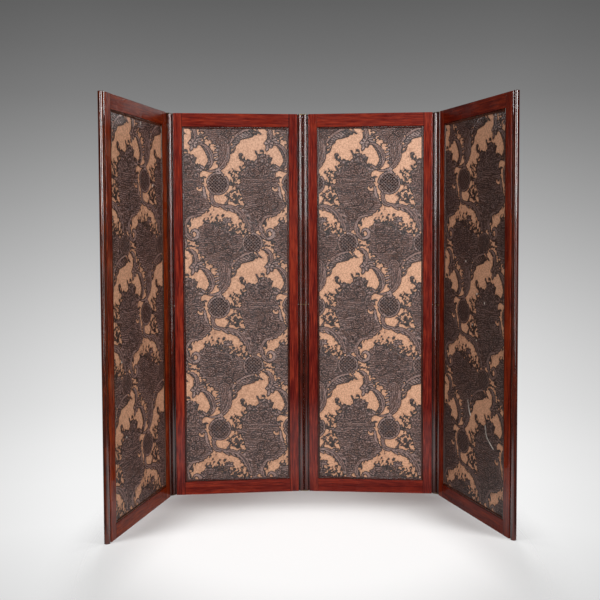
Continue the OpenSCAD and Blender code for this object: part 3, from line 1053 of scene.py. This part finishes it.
sheetSet = {
    "cell": {"front": 0.00268, "back": 0.0036},
    "relief": 0.0012,                # height of the embossing
    "flatEdge": 0.0105,              # plain margin under the slips
    "fade": 0.003,
    "thick": 0.0016,
    # Width in mm of the wall round a motif, and the shares of the height of its wall and of its domes
    "wall": 2.4, "wallShare": 0.45, "domeShare": 0.55,
    "snap": 0.45,                    # points within this share of a cell move onto an outline
    "sharp": math.radians(60),
    # Where the first roundel of each leaf sits: along the leaf and up, in mm
    "phase": {1: (344, 1375), 2: (206, 1375), 3: (368, 1375), 4: (212, 1375)},
}


def sampled(field, across, up):
    # The pattern's value at places in mm, read between the grid's points
    x, y = across / gridStep, up / gridStep
    column, row = np.floor(x).astype(int), np.floor(y).astype(int)
    shareX, shareY = x - column, y - row
    total = 0
    for stepX, weightX in ((0, 1 - shareX), (1, shareX)):
        for stepY, weightY in ((0, 1 - shareY), (1, shareY)):
            corner = field[(row + stepY) % gridRows, (column + stepX) % gridColumns]
            total = total + corner * weightX * weightY
    return total


wearSet = {
    # Chips and tears of each front, in mm along the leaf and up it: start, end, half width
    1: ((137, 1610, 137, 1610, 3.2), (311, 1604, 311, 1600, 3.2), (421, 1360, 421, 1356, 3.0),
        (122, 665, 124, 661, 2.6), (154, 365, 157, 362, 2.8)),
    4: ((251, 468, 258, 440, 2.0), (258, 440, 266, 420, 2.2), (266, 420, 271, 410, 2.6),
        (381, 392, 392, 350, 2.0), (392, 350, 408, 336, 2.4), (408, 336, 441, 312, 2.4),
        (227, 1040, 232, 1040, 2.2), (312, 910, 318, 912, 2.0), (372, 880, 372, 874, 2.4),
        (282, 785, 284, 783, 2.2), (312, 725, 314, 722, 2.2)),
}


def scuffs(leaf, face, across, up):
    # How worn each point is: the torn and chipped places show the pale ground
    worn = np.zeros(len(across))
    if face == "back":
        return worn
    for x0, y0, x1, y1, radius in wearSet.get(leaf, ()):
        runX, runY = x1 - x0, y1 - y0
        share = np.clip(((across - x0) * runX + (up - y0) * runY) / max(runX ** 2 + runY ** 2, 1e-9), 0, 1)
        away = np.hypot(across - x0 - share * runX, up - y0 - share * runY)
        worn = np.maximum(worn, np.exp(-(away / radius) ** 2))
    return worn


def covering(leaf, face):
    stileIn = leafSet["stileIn"]
    low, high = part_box("leaf_%d_%s_cover" % (leaf, face))
    width, tall = leafSet["pitch"] - 2 * stileIn, high.z - low.z
    cell = sheetSet["cell"][face]
    across, up = int(round(width / cell)), int(round(tall / cell))
    shape = bmesh.new()
    scale = Matrix.Diagonal((width / 2, tall / 2, 1, 1))
    bmesh.ops.create_grid(shape, x_segments=across, y_segments=up, size=1, matrix=scale)
    rim = [edge for edge in shape.edges if edge.is_boundary]
    turned = bmesh.ops.extrude_edge_only(shape, edges=rim)["geom"]
    skirt = [item for item in turned if isinstance(item, bmesh.types.BMVert)]
    bmesh.ops.translate(shape, verts=skirt, vec=(0, 0, -sheetSet["thick"]))
    bmesh.ops.contextual_create(shape, geom=[item for item in turned if isinstance(item, bmesh.types.BMEdge)])
    bmesh.ops.recalc_face_normals(shape, faces=shape.faces)
    mesh = meshOf(shape, "leaf_%d_%s_covering" % (leaf, face))

    co = np.empty(len(mesh.vertices) * 3)
    mesh.vertices.foreach_get("co", co)
    co = co.reshape(-1, 3)
    x, z, top = co[:, 0] + width / 2, co[:, 1] + tall / 2, co[:, 2] > -sheetSet["thick"] / 2
    inset = np.minimum(np.minimum(x, width - x), np.minimum(z, tall - z))
    shown = np.clip((inset - sheetSet["flatEdge"]) / sheetSet["fade"], 0, 1) * top
    phaseX, phaseZ = sheetSet["phase"][leaf]
    if face == "back":
        phaseX = 1000 * leafSet["pitch"] - phaseX
    acrossLeaf, upLeaf = (x + stileIn) * 1000, (z + low.z) * 1000
    acrossMm, upMm = acrossLeaf - phaseX, upLeaf - phaseZ
    # Points near an outline move onto it, so that the relief has clean edges
    edge = sampled(pattern["edge"], acrossMm, upMm)
    left, right, under, over = (sampled(pattern["edge"], acrossMm + stepX, upMm + stepZ)
                                for stepX, stepZ in ((-1, 0), (1, 0), (0, -1), (0, 1)))
    slopeX, slopeZ = (right - left) / 2, (over - under) / 2
    near = (np.abs(edge) < sheetSet["snap"] * cell * 1000) & (shown > 0.99)
    shift = np.where(near, -edge, 0)
    acrossMm, upMm = acrossMm + shift * slopeX, upMm + shift * slopeZ
    x, z = x + shift * slopeX / 1000, z + shift * slopeZ / 1000
    values = {name: sampled(pattern[name], acrossMm, upMm) for name in pattern}
    wall = np.clip(0.5 - values["edge"] / sheetSet["wall"], 0, 1)
    raised = wall * sheetSet["wallShare"] + values["relief"] * sheetSet["domeShare"]
    y = leafSet["coverDepth"] + shown * raised * sheetSet["relief"] - np.where(top, 0, sheetSet["thick"])
    local = np.stack([x + stileIn, -y, z + low.z], axis=1)
    if face == "back":
        local = np.stack([leafSet["pitch"] - local[:, 0], y, local[:, 2]], axis=1)
    matrix = np.array(places[leaf])
    placed = local @ matrix[:3, :3].T + matrix[:3, 3]
    mesh.vertices.foreach_set("co", placed.ravel())
    values["scuff"] = scuffs(leaf, face, acrossLeaf, upLeaf)
    for name, value in values.items():
        attribute = mesh.attributes.new(name, "FLOAT", "POINT")
        attribute.data.foreach_set("value", value.astype(np.float32))
    mesh.polygons.foreach_set("use_smooth", [True] * len(mesh.polygons))
    mesh.set_sharp_from_angle(angle=sheetSet["sharp"])
    mesh.update()
    mesh.materials.append(finishes["covering", leaf])
    piece = addObject(mesh.name, mesh)
    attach(piece, "leaf_%d" % leaf)
    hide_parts("leaf_%d_%s_cover" % (leaf, face))


for leaf in places:
    for face in ("front", "back"):
        covering(leaf, face)
    print("covering on leaf", leaf)
